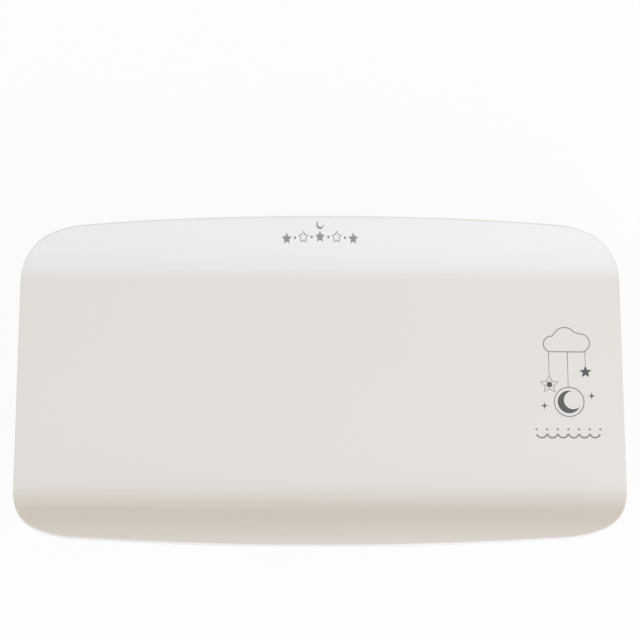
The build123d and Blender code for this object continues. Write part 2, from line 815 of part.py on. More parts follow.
def csk_bolt(length):
    """Countersunk bolt, its head flush with z = 0 and its shank hanging down."""
    head = Pos(0, 0, -csk_height / 2) * Cone(cell_bolt_radius, csk_radius, csk_height)
    socket = Pos(0, 0, -csk_key_depth) * extrude(RegularPolygon(csk_key, 6), csk_key_depth + past)
    return head + disc(0, 0, -length, -csk_height, cell_bolt_radius) - socket


def make_stops():
    stops = []
    nuts = []
    post_height = carrier_z - stop_gap - chassis_top_z
    nut_low = chassis_z - stop_nut_height
    for x, y in stop_places:
        post = extrude(Pos(x, y, chassis_top_z) * RegularPolygon(stop_radius, 6), post_height)
        post = chamfer(post.faces().sort_by(Axis.Z)[-1].edges(), stop_chamfer)
        stops.append(post + disc(x, y, nut_low - stop_stud_end, chassis_top_z, stop_stud_radius))
        nut = extrude(Pos(x, y, nut_low) * RegularPolygon(stop_nut_radius, 6), stop_nut_height)
        nuts.append(nut - disc(x, y, nut_low - past, chassis_z + past, stop_stud_radius + thread_clearance))
    return stops, nuts


def make_overload_screw():
    """Set screw under the free end of the bar, set with a key from below."""
    low = chassis_z - overload_low
    screw = disc(overload_x, 0, low, cell_z - stop_gap, cell_bolt_radius)
    socket = extrude(Pos(overload_x, 0, low - past) * RegularPolygon(overload_key, 6), overload_low + past)
    return screw - socket


# ---------------------------------------------------------------- display and keys


def make_lens():
    flat = rounded(lens_length, lens_height, lens_corner)
    flat -= rounded(window_length, window_height, window_corner)
    body = on_panel(0, panel_middle, 0, -lens_thickness, flat)
    hole = Circle(key_radius + key_clearance)
    for x in key_places.values():
        body -= on_panel(x, panel_middle, past, -lens_thickness - past, hole)
    return body


def make_window():
    length = window_length - 2 * window_fit
    height = window_height - 2 * window_fit
    flat = rounded(length, height, window_corner - window_fit)
    return on_panel(0, panel_middle, 0, -lens_thickness, flat)


def make_key(x):
    """Key cap with a retaining flange and a stem that bears on the switch plunger."""
    cap = on_panel(x, panel_middle, key_proud, -cap_foot, Circle(key_radius))
    cap = fillet(cap.faces().sort_by(Axis((0, 0, 0), panel.z_dir))[-1].edges(), key_edge_round)
    ceiling = key_proud - key_roof
    cap += on_panel(x, panel_middle, -pad_depth - flange_gap, -cap_foot, Circle(key_radius + flange_reach))
    cap -= on_panel(x, panel_middle, ceiling, -cap_foot - past, Circle(key_radius - key_wall))
    return cap + on_panel(x, panel_middle, ceiling + key_root, -cap_foot, Circle(key_stem_radius))


def make_plunger(x):
    return on_panel(x, panel_middle, -cap_foot, -cap_foot - plunger_length, Circle(plunger_radius))


def make_switch(x):
    body = on_panel(x, panel_middle, -switch_top, -board_depth, Rectangle(switch_size, switch_size))
    deep = -cap_foot - plunger_length - key_travel - plunger_clearance
    return body - on_panel(x, panel_middle, 0, deep, Circle(plunger_radius + plunger_clearance))


def make_board():
    flat = rounded(board_length, board_height, board_corner)
    body = on_panel(0, board_middle, -board_depth, -board_back, flat)
    for x, y in board_screw_places:
        body -= on_panel(x, y, 0, -board_back - past, Circle(board_screw_radius + screw_clearance))
    return body


def make_lcd_parts():
    """Holder, glass, light guide, light sources and the two contact strips of the display."""
    inner = lcd_length + 2 * lcd_fit, lcd_height + 2 * lcd_fit
    frame = Rectangle(inner[0] + 2 * lcd_holder_wall, inner[1] + 2 * lcd_holder_wall) - Rectangle(*inner)
    holder = on_panel(0, panel_middle, -glass_depth, -board_depth, frame)
    plate = Rectangle(lcd_length, lcd_height)
    glass = on_panel(0, panel_middle, -glass_depth, -glass_back, plate)
    guide_plan = Rectangle(lcd_length - 2 * guide_inset, lcd_height - 2 * strip_width - 2 * guide_gap)
    guide = on_panel(0, panel_middle, -glass_back - glass_gap, guide_lift - board_depth, guide_plan)
    lights = []
    strips = []
    for side in (-1, 1):
        x = side * (lcd_length / 2 - led_inset)
        y = panel_middle + side * (lcd_height / 2 - strip_width / 2 - lcd_fit)
        light_plan = Rectangle(led_width, led_length)
        strip_plan = Rectangle(lcd_length - 2 * strip_inset, strip_width)
        lights.append(on_panel(x, panel_middle, led_height - board_depth, -board_depth, light_plan))
        strips.append(on_panel(0, y, -glass_back, -board_depth, strip_plan))
    return holder, glass, guide, lights, strips


def make_small_parts():
    """Capacitors, a crystal and resistors on the back of the circuit board."""
    capacitors = [(-12.0, 9.0), (30.0, 9.0)]
    crystal = (26.0, -8.0)
    resistors = [(40.0 + 5.0 * n, -2.0) for n in range(5)]
    pieces = [on_board_back(x, y, 5.5, Circle(2.5)) for x, y in capacitors]
    pieces.append(on_board_back(*crystal, 3.0, rounded(10, 4, 1.9)))
    pieces += [on_board_back(x, y, 0.6, Rectangle(2, 1.2)) for x, y in resistors]
    return pieces


def on_board_back(x, y, height, shape):
    """Part of the circuit board's rear side, placed from the middle of the board."""
    return on_panel(x, board_middle + y, -board_back, -board_back - height, shape)


def make_connector(x, width):
    return on_board_back(x, 0, connector_height, Rectangle(width, connector_depth))


# ---------------------------------------------------------------- batteries


def battery_sides():
    """Middle of each cell along X, and which way its button points."""
    first = bay_x - bay_length / 2 + bay_side + battery_radius
    return [(first + n * battery_pitch, 1 if n % 2 else -1) for n in range(battery_count)]


def make_batteries():
    cells = []
    for x, way in battery_sides():
        button_end = bay_y + way * (bay_depth / 2 - contact_thickness)
        length = battery_length - button_height
        middle = button_end - way * (button_height + length / 2)
        can = fillet(Cylinder(battery_radius, length).edges(), battery_edge_round)
        can = Pos(x, middle, battery_z) * Rot(90, 0, 0) * can
        button = Rot(90, 0, 0) * Cylinder(button_radius, button_height)
        cells.append(can + Pos(x, button_end - way * button_height / 2, battery_z) * button)
    return cells


def make_springs():
    """Conical coils, wide at the contact plate and narrow at the cell."""
    length = spring_room - 2 * spring_wire_radius
    steps = round(spring_turns * spring_steps)
    points = []
    for n in range(steps + 1):
        angle = 2 * pi * n / spring_steps
        radius = spring_radius + (spring_end_radius - spring_radius) * n / steps
        points.append((radius * cos(angle), radius * sin(angle), length * n / steps))
    spring = round_bar(eased_path(points)[0], 2 * spring_wire_radius)
    springs = []
    for x, way in battery_sides():
        y = bay_y - way * (bay_depth / 2 - contact_thickness - spring_wire_radius)
        springs.append(Pos(x, y, battery_z) * Rot(-90 * way, 0, 0) * spring)
    return springs


def make_contacts():
    """Plates at both ends of the bay; each joins two neighbours, and two end ones carry tabs."""
    plates = []
    sides = battery_sides()
    low = battery_z - contact_half_height
    high = battery_z + contact_half_height
    front = bay_front + contact_thickness / 2
    rear = bay_rear - contact_thickness / 2
    for n in range(battery_count - 1):
        middle = (sides[n][0] + sides[n + 1][0]) / 2
        end = front if n % 2 else rear
        plates.append(block(middle, end, low, high, battery_pitch + contact_width, contact_thickness))
    for x in terminal_places:
        plate = block(x, front, low, high, contact_width, contact_thickness)
        plate += span(x, bay_front - tab_length, bay_front, tab_z, tab_z + contact_thickness, tab_width)
        plates.append(plate)
    return plates


def make_door():
    top = foot_stand + door_thickness
    body = span(bay_x, door_front, hinge_y, foot_stand, top, door_length)
    body += block(bay_x, latch_y, foot_stand, top, latch_width, latch_reach)
    along = Pos(bay_x, hinge_y, hinge_z) * Rot(0, 90, 0)
    body += along * Cylinder(hinge_radius, door_length)
    body += along * Cylinder(hinge_pin_radius, door_length + 2 * hinge_pin_length)
    # The spring finger of the latch is drawn pressed, just clear of its catch.
    finger_top = top + finger_height
    nub_y = finger_y - finger_thickness / 2 - nub_depth / 2
    body += block(bay_x, finger_y, top - past, finger_top, finger_width, finger_thickness)
    body += block(bay_x, nub_y, finger_top - nub_height, finger_top, finger_width, nub_depth)
    # Grip ridges under the thumb.
    for n in range(grip_count):
        y = door_front + grip_start + grip_pitch * n
        body -= block(bay_x, y, foot_stand - past, foot_stand + grip_depth, latch_width, grip_width)
    return body


# ---------------------------------------------------------------- wires


def wire(name, points, diameter):
    """Round lead along an eased path; prints its length, its radii and a check of its volume."""
    path, radii = eased_path(points)
    tube = round_bar(path, diameter)
    wanted = path.length * pi * diameter**2 / 4
    print(name, "length", round(path.length, 1), "radii", [round(r, 1) for r in radii], end=" ")
    print("volume over section times length", round(tube.volume / wanted, 5))
    return tube


def plug_point(x, behind):
    """Point straight behind a connector of the circuit board."""
    depth = board_back + connector_height + behind
    place = panel.offset(-depth).location * Pos(x, board_middle, 0)
    return tuple(place.position)


# ---------------------------------------------------------------- build

os.makedirs("parts", exist_ok=True)

# Weighed side.
write("tray", make_tray())
small_head = small_head_radius, small_head_height
tray_screw = pan_screw(tray_boss_z - carrier_z + tray_screw_bite, small_screw_radius, *small_head)
write("tray_screws", *[facing_down(x, y, carrier_z, tray_screw) for x, y in post_places])
sleeve = make_sleeve()
write("tray_sleeves", *[facing_up(x, y, 0, sleeve) for x, y in post_places])
write("tray_carrier", make_carrier())
write("upper_spacer", make_spacer(cell_top_z, 1))
upper_bolt = csk_bolt(carrier_thickness + spacer_height + cell_bolt_bite)
write("upper_cell_bolts", *[facing_up(x, 0, carrier_top_z, upper_bolt) for x in cell_bolt_places])

# Load cell and what holds it.
gauges = make_gauges()
write("load_cell", make_load_cell())
write("strain_gauges", *gauges)
write("gauge_sealant", *make_sealant(gauges))
write("lower_spacer", make_spacer(cell_z - spacer_height, -1))
lower_bolt_length = chassis_thickness + spacer_height + cell_bolt_bite
lower_bolt = pan_screw(lower_bolt_length, cell_bolt_radius, cell_head_radius, cell_head_height)
write("lower_cell_bolts", *[facing_down(-x, 0, chassis_z, lower_bolt) for x in cell_bolt_places])
write("chassis_plate", make_chassis())
chassis_screw = pan_screw(chassis_thickness + chassis_lift, small_screw_radius, *small_head)
write("chassis_screws", *[facing_up(x, y, chassis_top_z, chassis_screw) for x, y in chassis_screw_places])
stops, nuts = make_stops()
write("corner_stops", *stops)
write("stop_nuts", *nuts)
write("overload_screw", make_overload_screw())

# Housings.
write("base_top", make_base_top())
write("base_bottom", make_base_bottom())
case_screw = pan_screw(case_screw_length, case_screw_radius, case_head_radius, case_head_height)
write("case_screws", *[facing_down(x, y, case_head_z, case_screw) for x, y in case_screw_places])
foot_names = ("foot_left_front", "foot_left_rear", "foot_right_front", "foot_right_rear")
for name, foot in zip(foot_names, make_feet()):
    write(name, foot)

# Display and keys.
holder, glass, guide, lights, strips = make_lcd_parts()
write("display_lens", make_lens())
write("display_window", make_window())
write("lcd_holder", holder)
write("lcd_glass", glass)
write("light_guide", guide)
write("backlight_leds", *lights)
write("contact_strips", *strips)
write("main_board", make_board())
board_screw = pan_screw(
    board_thickness + board_screw_bite, board_screw_radius, board_head_radius, board_head_height
)
board_rear = panel.offset(-board_back).location
write("board_screws", *[board_rear * facing_down(x, y, 0, board_screw) for x, y in board_screw_places])
write("processor_chip", on_board_back(6, 0, 1.2, Circle(7)))
write("converter_chip", on_board_back(-14, -7, 1.6, Rectangle(10, 4)))
write("small_parts", *make_small_parts())
write("cell_connector", make_connector(cell_plug_x, cell_plug_width))
write("battery_connector", make_connector(battery_plug_x, battery_plug_width))
for key, x in key_places.items():
    write(f"{key}_button", make_key(x))
    write(f"{key}_plunger", make_plunger(x))
write("key_switches", *[make_switch(x) for x in key_places.values()])

# Batteries.
write("batteries", *make_batteries())
write("spring_contacts", *make_springs())
write("plate_contacts", *make_contacts())
write("battery_door", make_door())

# Wires inside the base.
write(
    "load_cell_cable",
    wire(
        "load cell cable",
        [
            (-cell_length / 2 + cell_cable_bore, 0, cell_cable_z),
            (-79, 0, cell_cable_z),
            (-93, -14, 25),
            (-98, -33, 22),
            (-90, -52, 18),
            (-74, -67, 14.5),
            (-56, -80, 12),
            plug_point(cell_plug_x, 18),
            plug_point(cell_plug_x, 0),
        ],
        cell_cable_diameter,
    ),
)
for name, x, plug_x, middle in (
    (
        "battery_lead_black",
        terminal_places[0],
        battery_plug_x - lead_spread,
        [(-172, -43, 19), (-157, -55, 17), (-137, -63, 15.5), (-115, -72, 14), (-94, -84, 12.5)],
    ),
    (
        "battery_lead_red",
        terminal_places[1],
        battery_plug_x + lead_spread,
        [(-129, -42, 19), (-119, -53, 17), (-104, -64, 15), (-86, -75, 13)],
    ),
):
    start = bay_front - tab_length
    height = tab_z + contact_thickness / 2
    ends = [(x, start, height), (x, start - 9, height)], [plug_point(plug_x, 12), plug_point(plug_x, 0)]
    write(name, wire(name, ends[0] + middle + ends[1], lead_diameter))
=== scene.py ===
import math

import bmesh
import bpy
from mathutils import Matrix, Vector
from mathutils.bvhtree import BVHTree


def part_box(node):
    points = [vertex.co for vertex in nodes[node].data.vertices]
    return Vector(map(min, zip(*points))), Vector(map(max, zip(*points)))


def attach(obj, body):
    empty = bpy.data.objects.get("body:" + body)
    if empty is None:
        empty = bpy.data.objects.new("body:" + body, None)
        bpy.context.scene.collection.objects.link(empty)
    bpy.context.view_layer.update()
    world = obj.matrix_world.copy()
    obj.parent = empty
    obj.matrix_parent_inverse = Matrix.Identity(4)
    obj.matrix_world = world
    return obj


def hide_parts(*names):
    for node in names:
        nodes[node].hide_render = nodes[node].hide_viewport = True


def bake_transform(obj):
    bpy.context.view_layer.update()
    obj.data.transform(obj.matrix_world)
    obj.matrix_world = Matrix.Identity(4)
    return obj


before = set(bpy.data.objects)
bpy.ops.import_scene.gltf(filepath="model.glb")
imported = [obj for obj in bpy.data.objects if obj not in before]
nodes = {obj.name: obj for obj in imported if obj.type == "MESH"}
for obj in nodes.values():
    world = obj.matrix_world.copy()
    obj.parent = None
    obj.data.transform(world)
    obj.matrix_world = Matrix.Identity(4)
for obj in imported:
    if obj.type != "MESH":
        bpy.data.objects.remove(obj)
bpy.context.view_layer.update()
mm = 0.001  # the frame is in metres, and sizes below are given in millimetres
print("frame loaded,", len(nodes), "CAD nodes")


class Signal:
    # wraps one output socket, so that shader maths reads as plain expressions
    def __init__(self, finish, socket):
        self.finish = finish
        self.socket = socket

    def __add__(self, other):
        return self.finish.calc("ADD", self, other)

    def __sub__(self, other):
        return self.finish.calc("SUBTRACT", self, other)

    def __rsub__(self, other):
        return self.finish.calc("SUBTRACT", other, self)

    def __mul__(self, other):
        return self.finish.calc("MULTIPLY", self, other)

    __radd__ = __add__
    __rmul__ = __mul__


class Finish:
    # a Principled material and the nodes that vary it over the surface
    def __init__(self, name, **constants):
        self.material = bpy.data.materials.new(name)
        self.material.use_nodes = True
        self.tree = self.material.node_tree
        self.shader = self.tree.nodes["Principled BSDF"]
        for socket, value in constants.items():
            self.shader.inputs[socket.replace("_", " ")].default_value = value
        self.place = self.add("ShaderNodeTexCoord", output="Object")

    def add(self, kind, settings=(), inputs=(), output=0):
        node = self.tree.nodes.new(kind)
        for name, value in dict(settings).items():
            setattr(node, name, value)
        for name, value in dict(inputs).items():
            self.feed(node.inputs[name], value)
        return Signal(self, node.outputs[output])

    def feed(self, socket, value):
        if isinstance(value, Signal):
            self.tree.links.new(value.socket, socket)
        else:
            socket.default_value = value

    def calc(self, operation, first, second):
        return self.add("ShaderNodeMath", {"operation": operation}, {0: first, 1: second})

    def mix(self, share, low, high):  # sockets 6, 7 and 2 are the two colours and their blend
        return self.add("ShaderNodeMix", {"data_type": "RGBA"}, {0: share, 6: low, 7: high}, 2)

    def step(self, value, low, high):  # 0 below low, 1 above high, eased between them
        settings = {"interpolation_type": "SMOOTHSTEP"}
        return self.add("ShaderNodeMapRange", settings, {0: value, 1: low, 2: high})

    def noise(self, size, detail=2.0, stretch=(1.0, 1.0, 1.0)):  # size is the width of one speckle
        place = self.add("ShaderNodeMapping", {}, {"Vector": self.place, "Scale": stretch})
        return self.add("ShaderNodeTexNoise", {}, {"Vector": place, "Scale": 1 / size, "Detail": detail})

    def axis(self, name):
        return self.add("ShaderNodeSeparateXYZ", {}, {"Vector": self.place}, name)

    def paint(self, value):
        self.feed(self.shader.inputs["Base Color"], value)

    def rough(self, value):
        self.feed(self.shader.inputs["Roughness"], value)

    def bump(self, height, depth):
        bumped = self.add("ShaderNodeBump", {}, {"Height": height, "Distance": depth})
        self.feed(self.shader.inputs["Normal"], bumped)


def shade(color, factor):
    return tuple(min(1.0, part * factor) for part in color) + (1.0,)


def tints(look):  # the darkest and the palest colour of a finish
    return shade(look["color"], 1 - look["tint"]), shade(look["color"], 1 + look["tint"])


def moulded(name, look):
    # injection-moulded plastic: a fine eroded grain, a broad drift in tint, slow waves in the gloss
    finish = Finish(name, Specular_IOR_Level=look["gloss"])
    grain = finish.noise(look["grain"], detail=3.0)
    drift = finish.noise(look["drift"])
    finish.paint(finish.mix(drift, *tints(look)))
    finish.rough(look["roughness"] + (grain - 0.5) * look["grainGloss"] + (drift - 0.5) * look["driftGloss"])
    finish.bump(grain, look["depth"])
    return finish.material


def metal(name, look):
    # plated or machined metal: fine drawn lines and a cloudy plating
    finish = Finish(name, Metallic=1.0)
    lines = finish.noise(look["lines"], detail=3.0, stretch=look["stretch"])
    cloud = finish.noise(look["cloud"])
    finish.paint(finish.mix(cloud, *tints(look)))
    finish.rough(look["roughness"] + (lines - 0.5) * look["brush"] + (cloud - 0.5) * look["patch"])
    finish.bump(lines, look["depth"])
    return finish.material


def soft(name, look):
    # rubber, sealant or a wire's sleeve: a fine pebble with a little dust in it
    finish = Finish(name, Specular_IOR_Level=look["gloss"])
    pebble = finish.noise(look["grain"])
    dust = finish.noise(look["dust"], detail=4.0)
    dusted = finish.step(dust, look["dustFrom"], look["dustFull"])
    finish.paint(finish.mix(dusted, shade(look["color"], 1), shade(look["dusty"], 1)))
    finish.rough(look["roughness"] + (pebble - 0.5) * look["grainGloss"])
    finish.bump(pebble, look["depth"])
    return finish.material


def dress(material, *names):
    for name in names:
        slots = nodes[name].data.materials
        slots.clear()
        slots.append(material)
        dressed.add(name)


dressed = set()


# injection-moulded plastics
trayLook = {
    "color": (0.784, 0.757, 0.741),
    "tint": 0.006,
    "gloss": 0.5,
    "roughness": 0.46,
    "grain": 0.5 * mm,
    "grainGloss": 0.05,
    "depth": 0.003 * mm,
    "drift": 90 * mm,
    "driftGloss": 0.04,
}
housingLook = {
    **trayLook, "color": (0.775, 0.752, 0.735), "roughness": 0.54, "grain": 0.35 * mm, "depth": 0.02 * mm
}
keyLook = {**trayLook, "color": (0.52, 0.515, 0.51), "roughness": 0.38, "drift": 8 * mm, "tint": 0.015}
innerLook = {**trayLook, "color": (0.72, 0.71, 0.69), "roughness": 0.55, "drift": 20 * mm, "tint": 0.015}
nylonLook = {**innerLook, "color": (0.68, 0.65, 0.58), "tint": 0.03}
connectorLook = {**innerLook, "color": (0.74, 0.71, 0.62), "roughness": 0.4, "drift": 5 * mm}
chipLook = {**innerLook, "color": (0.020, 0.020, 0.022), "roughness": 0.6, "drift": 3 * mm, "tint": 0.2}
dress(moulded("trayPlastic", trayLook), "tray")
dress(moulded("housingPlastic", housingLook), "base_top", "base_bottom", "battery_door")
dress(moulded("keyPlastic", keyLook), "power_button", "unit_button", "hold_button", "tare_button")
dress(moulded("innerPlastic", innerLook), "lcd_holder", "light_guide", "backlight_leds")
dress(moulded("nylon", nylonLook), "tray_sleeves")
dress(moulded("connectorPlastic", connectorLook), "cell_connector", "battery_connector")
dress(
    moulded("chipPlastic", chipLook),
    "processor_chip", "converter_chip", "small_parts", "key_switches",
    "power_plunger", "unit_plunger", "hold_plunger", "tare_plunger",
)

# plates, screws and contacts
zincLook = {
    "color": (0.62, 0.62, 0.61),
    "tint": 0.06,
    "roughness": 0.32,
    "lines": 0.6 * mm,
    "stretch": (0.15, 1.0, 1.0),
    "brush": 0.10,
    "cloud": 6 * mm,
    "patch": 0.12,
    "depth": 0.004 * mm,
}
screwLook = {**zincLook, "color": (0.55, 0.55, 0.54), "stretch": (1.0, 1.0, 1.0), "cloud": 1.5 * mm}
aluminiumLook = {**zincLook, "color": (0.78, 0.78, 0.79), "roughness": 0.28, "lines": 0.3 * mm, "tint": 0.02}
nickelLook = {**zincLook, "color": (0.72, 0.69, 0.63), "roughness": 0.2, "brush": 0.05, "tint": 0.02}
dress(metal("zincPlate", zincLook), "tray_carrier", "chassis_plate", "upper_spacer", "lower_spacer")
dress(
    metal("screwSteel", screwLook),
    "tray_screws", "upper_cell_bolts", "lower_cell_bolts", "chassis_screws", "corner_stops",
    "stop_nuts", "overload_screw", "case_screws", "board_screws",
)
dress(metal("contactNickel", nickelLook), "spring_contacts", "plate_contacts")

# rubber, sealant and wires
footLook = {
    "color": (0.020, 0.020, 0.021),
    "dusty": (0.055, 0.053, 0.050),
    "gloss": 0.3,
    "grain": 0.6 * mm,
    "grainGloss": 0.1,
    "dust": 5 * mm,
    "dustFrom": 0.45,  # dust begins where its speckle passes this
    "dustFull": 0.75,
    "roughness": 0.72,
    "depth": 0.03 * mm,
}
sealantLook = {**footLook, "color": (0.74, 0.74, 0.72), "dusty": (0.66, 0.66, 0.64), "roughness": 0.35}
wireLook = {**footLook, "gloss": 0.5, "grain": 0.8 * mm, "roughness": 0.45, "depth": 0.01 * mm}
greyWireLook = {**wireLook, "color": (0.11, 0.115, 0.12), "dusty": (0.14, 0.145, 0.15)}
redWireLook = {**wireLook, "color": (0.36, 0.012, 0.010), "dusty": (0.40, 0.030, 0.020)}
dress(soft("footRubber", footLook), *[name for name in nodes if name.startswith("foot_")])
dress(soft("contactRubber", {**footLook, "grain": 0.2 * mm}), "contact_strips")
dress(soft("wireGrey", greyWireLook), "load_cell_cable")
dress(soft("wireBlack", wireLook), "battery_lead_black")
dress(soft("wireRed", redWireLook), "battery_lead_red")
print("plastic, metal and rubber dressed")

lensLook = {
    "color": (0.010, 0.011, 0.013, 1),
    "smeared": (0.015, 0.016, 0.018, 1),
    "gloss": 0.4,
    "roughness": 0.07,
    "smear": 14 * mm,
    "stretch": (1.0, 0.35, 0.35),
    "smearFrom": 0.5,
    "smearFull": 0.75,
    "smearGloss": 0.07,
}


def polishedLens(look):
    # dark polished plastic with the faint smears of wiping
    finish = Finish("lensPlastic", Specular_IOR_Level=look["gloss"])
    smear = finish.noise(look["smear"], detail=3.0, stretch=look["stretch"])
    finish.paint(finish.mix(smear, look["color"], look["smeared"]))
    smeared = finish.step(smear, look["smearFrom"], look["smearFull"])
    finish.rough(look["roughness"] + smeared * look["smearGloss"])
    return finish.material


windowLook = {
    "hazy": (0.93, 0.95, 0.95, 1),
    "clear": (0.97, 0.98, 0.98, 1),
    "index": 1.46,
    "haze": 9 * mm,
    "hazeFrom": 0.55,
    "hazeFull": 0.8,
    "hazeGloss": 0.04,
}


def clearWindow(look):
    finish = Finish("windowClear", Transmission_Weight=1.0, IOR=look["index"])
    haze = finish.noise(look["haze"], detail=3.0)
    finish.paint(finish.mix(haze, look["hazy"], look["clear"]))
    finish.rough(finish.step(haze, look["hazeFrom"], look["hazeFull"]) * look["hazeGloss"])
    return finish.material


lcdLook = {
    "dark": (0.36, 0.41, 0.33, 1),
    "pale": (0.42, 0.47, 0.38, 1),
    "gloss": 0.4,
    "roughness": 0.34,
    "cloud": 30 * mm,
    "weave": 0.4 * mm,
    "weaveShare": 0.3,
    "weaveGloss": 0.1,
}


def lcdGlass(look):
    # a reflective grey-green cell with the weave of its polariser
    finish = Finish("lcdGlass", Specular_IOR_Level=look["gloss"])
    weave = finish.noise(look["weave"], detail=1.0)
    cloud = finish.noise(look["cloud"])
    share = cloud * (1 - look["weaveShare"]) + weave * look["weaveShare"]
    finish.paint(finish.mix(share, look["dark"], look["pale"]))
    finish.rough(look["roughness"] + (weave - 0.5) * look["weaveGloss"])
    return finish.material


dress(polishedLens(lensLook), "display_lens")
dress(clearWindow(windowLook), "display_window")
dress(lcdGlass(lcdLook), "lcd_glass")

boardLook = {
    "mask": (0.008, 0.085, 0.035, 1),
    "track": (0.03, 0.16, 0.07, 1),
    "gloss": 0.5,
    "roughness": 0.35,
    "trackWidth": 0.35 * mm,
    "trackLength": 7 * mm,
    "trackPitch": 2 * mm,
    "trackHeight": 0.03 * mm,
    "weave": 0.8 * mm,
    "weaveGloss": 0.1,
}


def boardLaminate(look):
    # green solder mask over fibre cloth, with copper tracks showing through as paler lines
    finish = Finish("boardLaminate", Specular_IOR_Level=look["gloss"])
    layout = {
        "Vector": finish.place,
        "Scale": 1.0,
        "Mortar Size": look["trackWidth"],
        "Brick Width": look["trackLength"],
        "Row Height": look["trackPitch"],
    }
    tracks = finish.add("ShaderNodeTexBrick", {"offset": 0.5}, layout, "Fac")
    weave = finish.noise(look["weave"])
    finish.paint(finish.mix(tracks, look["mask"], look["track"]))
    finish.rough(look["roughness"] + (weave - 0.5) * look["weaveGloss"])
    finish.bump(tracks, look["trackHeight"])
    return finish.material


gaugeLook = {
    "film": (0.55, 0.26, 0.07, 1),
    "foil": (0.70, 0.40, 0.14, 1),
    "metallic": 0.4,
    "roughness": 0.3,
    "lines": 900.0,  # how close the foil's lines lie
    "lineGloss": 0.15,
    "lineHeight": 0.01 * mm,
}


def gaugeFoil(look):
    # foil grid of a strain gauge on its amber film
    finish = Finish("gaugeFoil", Metallic=look["metallic"])
    pattern = {"Vector": finish.place, "Scale": look["lines"]}
    grid = finish.add("ShaderNodeTexWave", {"bands_direction": "Y"}, pattern)
    finish.paint(finish.mix(grid, look["film"], look["foil"]))
    finish.rough(look["roughness"] + grid * look["lineGloss"])
    finish.bump(grid, look["lineHeight"])
    return finish.material


batteryLook = {
    "cells": 4,
    "sleeve": (0.045, 0.050, 0.060, 1),
    "band": (0.52, 0.53, 0.55, 1),
    "steel": (0.62, 0.61, 0.58, 1),
    "cellLength": 50.0,  # mm, as all lengths here
    "bandLength": 14.0,  # from the tip of a cell's raised end
    "raisedEnd": 2.0,  # bare steel at the raised end
    "flatEnd": 0.6,  # and at the flat one
    "edge": 0.3,  # over which one colour gives way to the next
    "seam": 0.05,  # half the width of the change from one cell to its neighbour
    "bandMetal": 0.7,
    "gloss": 0.5,
    "roughness": 0.28,
    "scuff": 4.0,
    "scuffGloss": 0.1,
}


def batteryCan(look):
    # printed sleeve with a pale band at the raised end, and bare steel at both ends
    low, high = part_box("batteries")
    finish = Finish("batteryCan", Specular_IOR_Level=look["gloss"])
    along, across = finish.axis("Y"), finish.axis("X")
    edge, seam = look["edge"] * mm, look["seam"] * mm
    turned = 0.0  # 1 on every second cell, which lies the other way round
    for n in range(1, look["cells"]):
        gap = low.x + (high.x - low.x) * n / look["cells"]
        passed = finish.step(across, gap - seam, gap + seam)
        turned = turned + passed if n % 2 else turned - passed
    middle, half = (low.y + high.y) / 2, (high.y - low.y) / 2
    depth = half - (2 * turned - 1) * (along - middle)  # from the tip of each cell's raised end
    bandEnd, raisedEnd = look["bandLength"] * mm, look["raisedEnd"] * mm
    sleeveEnd = (look["cellLength"] - look["flatEnd"]) * mm
    band = 1 - finish.step(depth, bandEnd, bandEnd + edge)
    raised = 1 - finish.step(depth, raisedEnd, raisedEnd + edge)
    bare = raised + finish.step(depth, sleeveEnd - edge, sleeveEnd)
    scuff = finish.noise(look["scuff"] * mm, detail=3.0)
    finish.paint(finish.mix(bare, finish.mix(band, look["sleeve"], look["band"]), look["steel"]))
    finish.feed(finish.shader.inputs["Metallic"], band * look["bandMetal"])
    finish.rough(look["roughness"] + scuff * look["scuffGloss"])
    return finish.material


dress(boardLaminate(boardLook), "main_board")
dress(batteryCan(batteryLook), "batteries")
print("display, board and batteries dressed")

# the prints on the tray and the marks on the keys are thin shapes of curves, laid on their surfaces
inkColors = {
    "line": (0.27, 0.255, 0.24),
    "fill": (0.105, 0.107, 0.112),
    "key": (0.075, 0.077, 0.080),
    "segment": (0.022, 0.026, 0.022),
    "ghost": (0.315, 0.365, 0.290),
}
inkLook = {
    "tint": 0.06,
    "gloss": 0.4,
    "roughness": 0.4,
    "film": 0.6 * mm,
    "filmGloss": 0.12,
    "height": 0.05,  # how far the ink stands proud, mm
}
mergeGap = 0.001 * mm  # corners closer than this are one


def inkFinish(name, color):
    # screen-printed ink: a slightly uneven film, glossier than the plastic
    look = {**inkLook, "color": inkColors[color]}
    finish = Finish(name, Specular_IOR_Level=look["gloss"])
    film = finish.noise(look["film"])
    finish.paint(finish.mix(film, *tints(look)))
    finish.rough(look["roughness"] + (film - 0.5) * look["filmGloss"])
    return finish.material


def arc(middleX, middleY, radius, start, end, count):
    # points along an arc, its angles in degrees
    turns = [math.radians(start + (end - start) * n / (count - 1)) for n in range(count)]
    return [(middleX + radius * math.cos(turn), middleY + radius * math.sin(turn)) for turn in turns]


def ring(middleX, middleY, radius, count):
    # points all round a circle
    return arc(middleX, middleY, radius, 0, 360 - 360 / count, count)


def star(middleX, middleY, radius, share=0.45, count=5):
    # corners of a star, one of them at the top; share is the inner radius over the outer one
    points = []
    for n in range(2 * count):
        turn = math.radians(90.0 + 180.0 * n / count)
        reach = radius * (share if n % 2 else 1.0)
        points.append((middleX + reach * math.cos(turn), middleY + reach * math.sin(turn)))
    return points


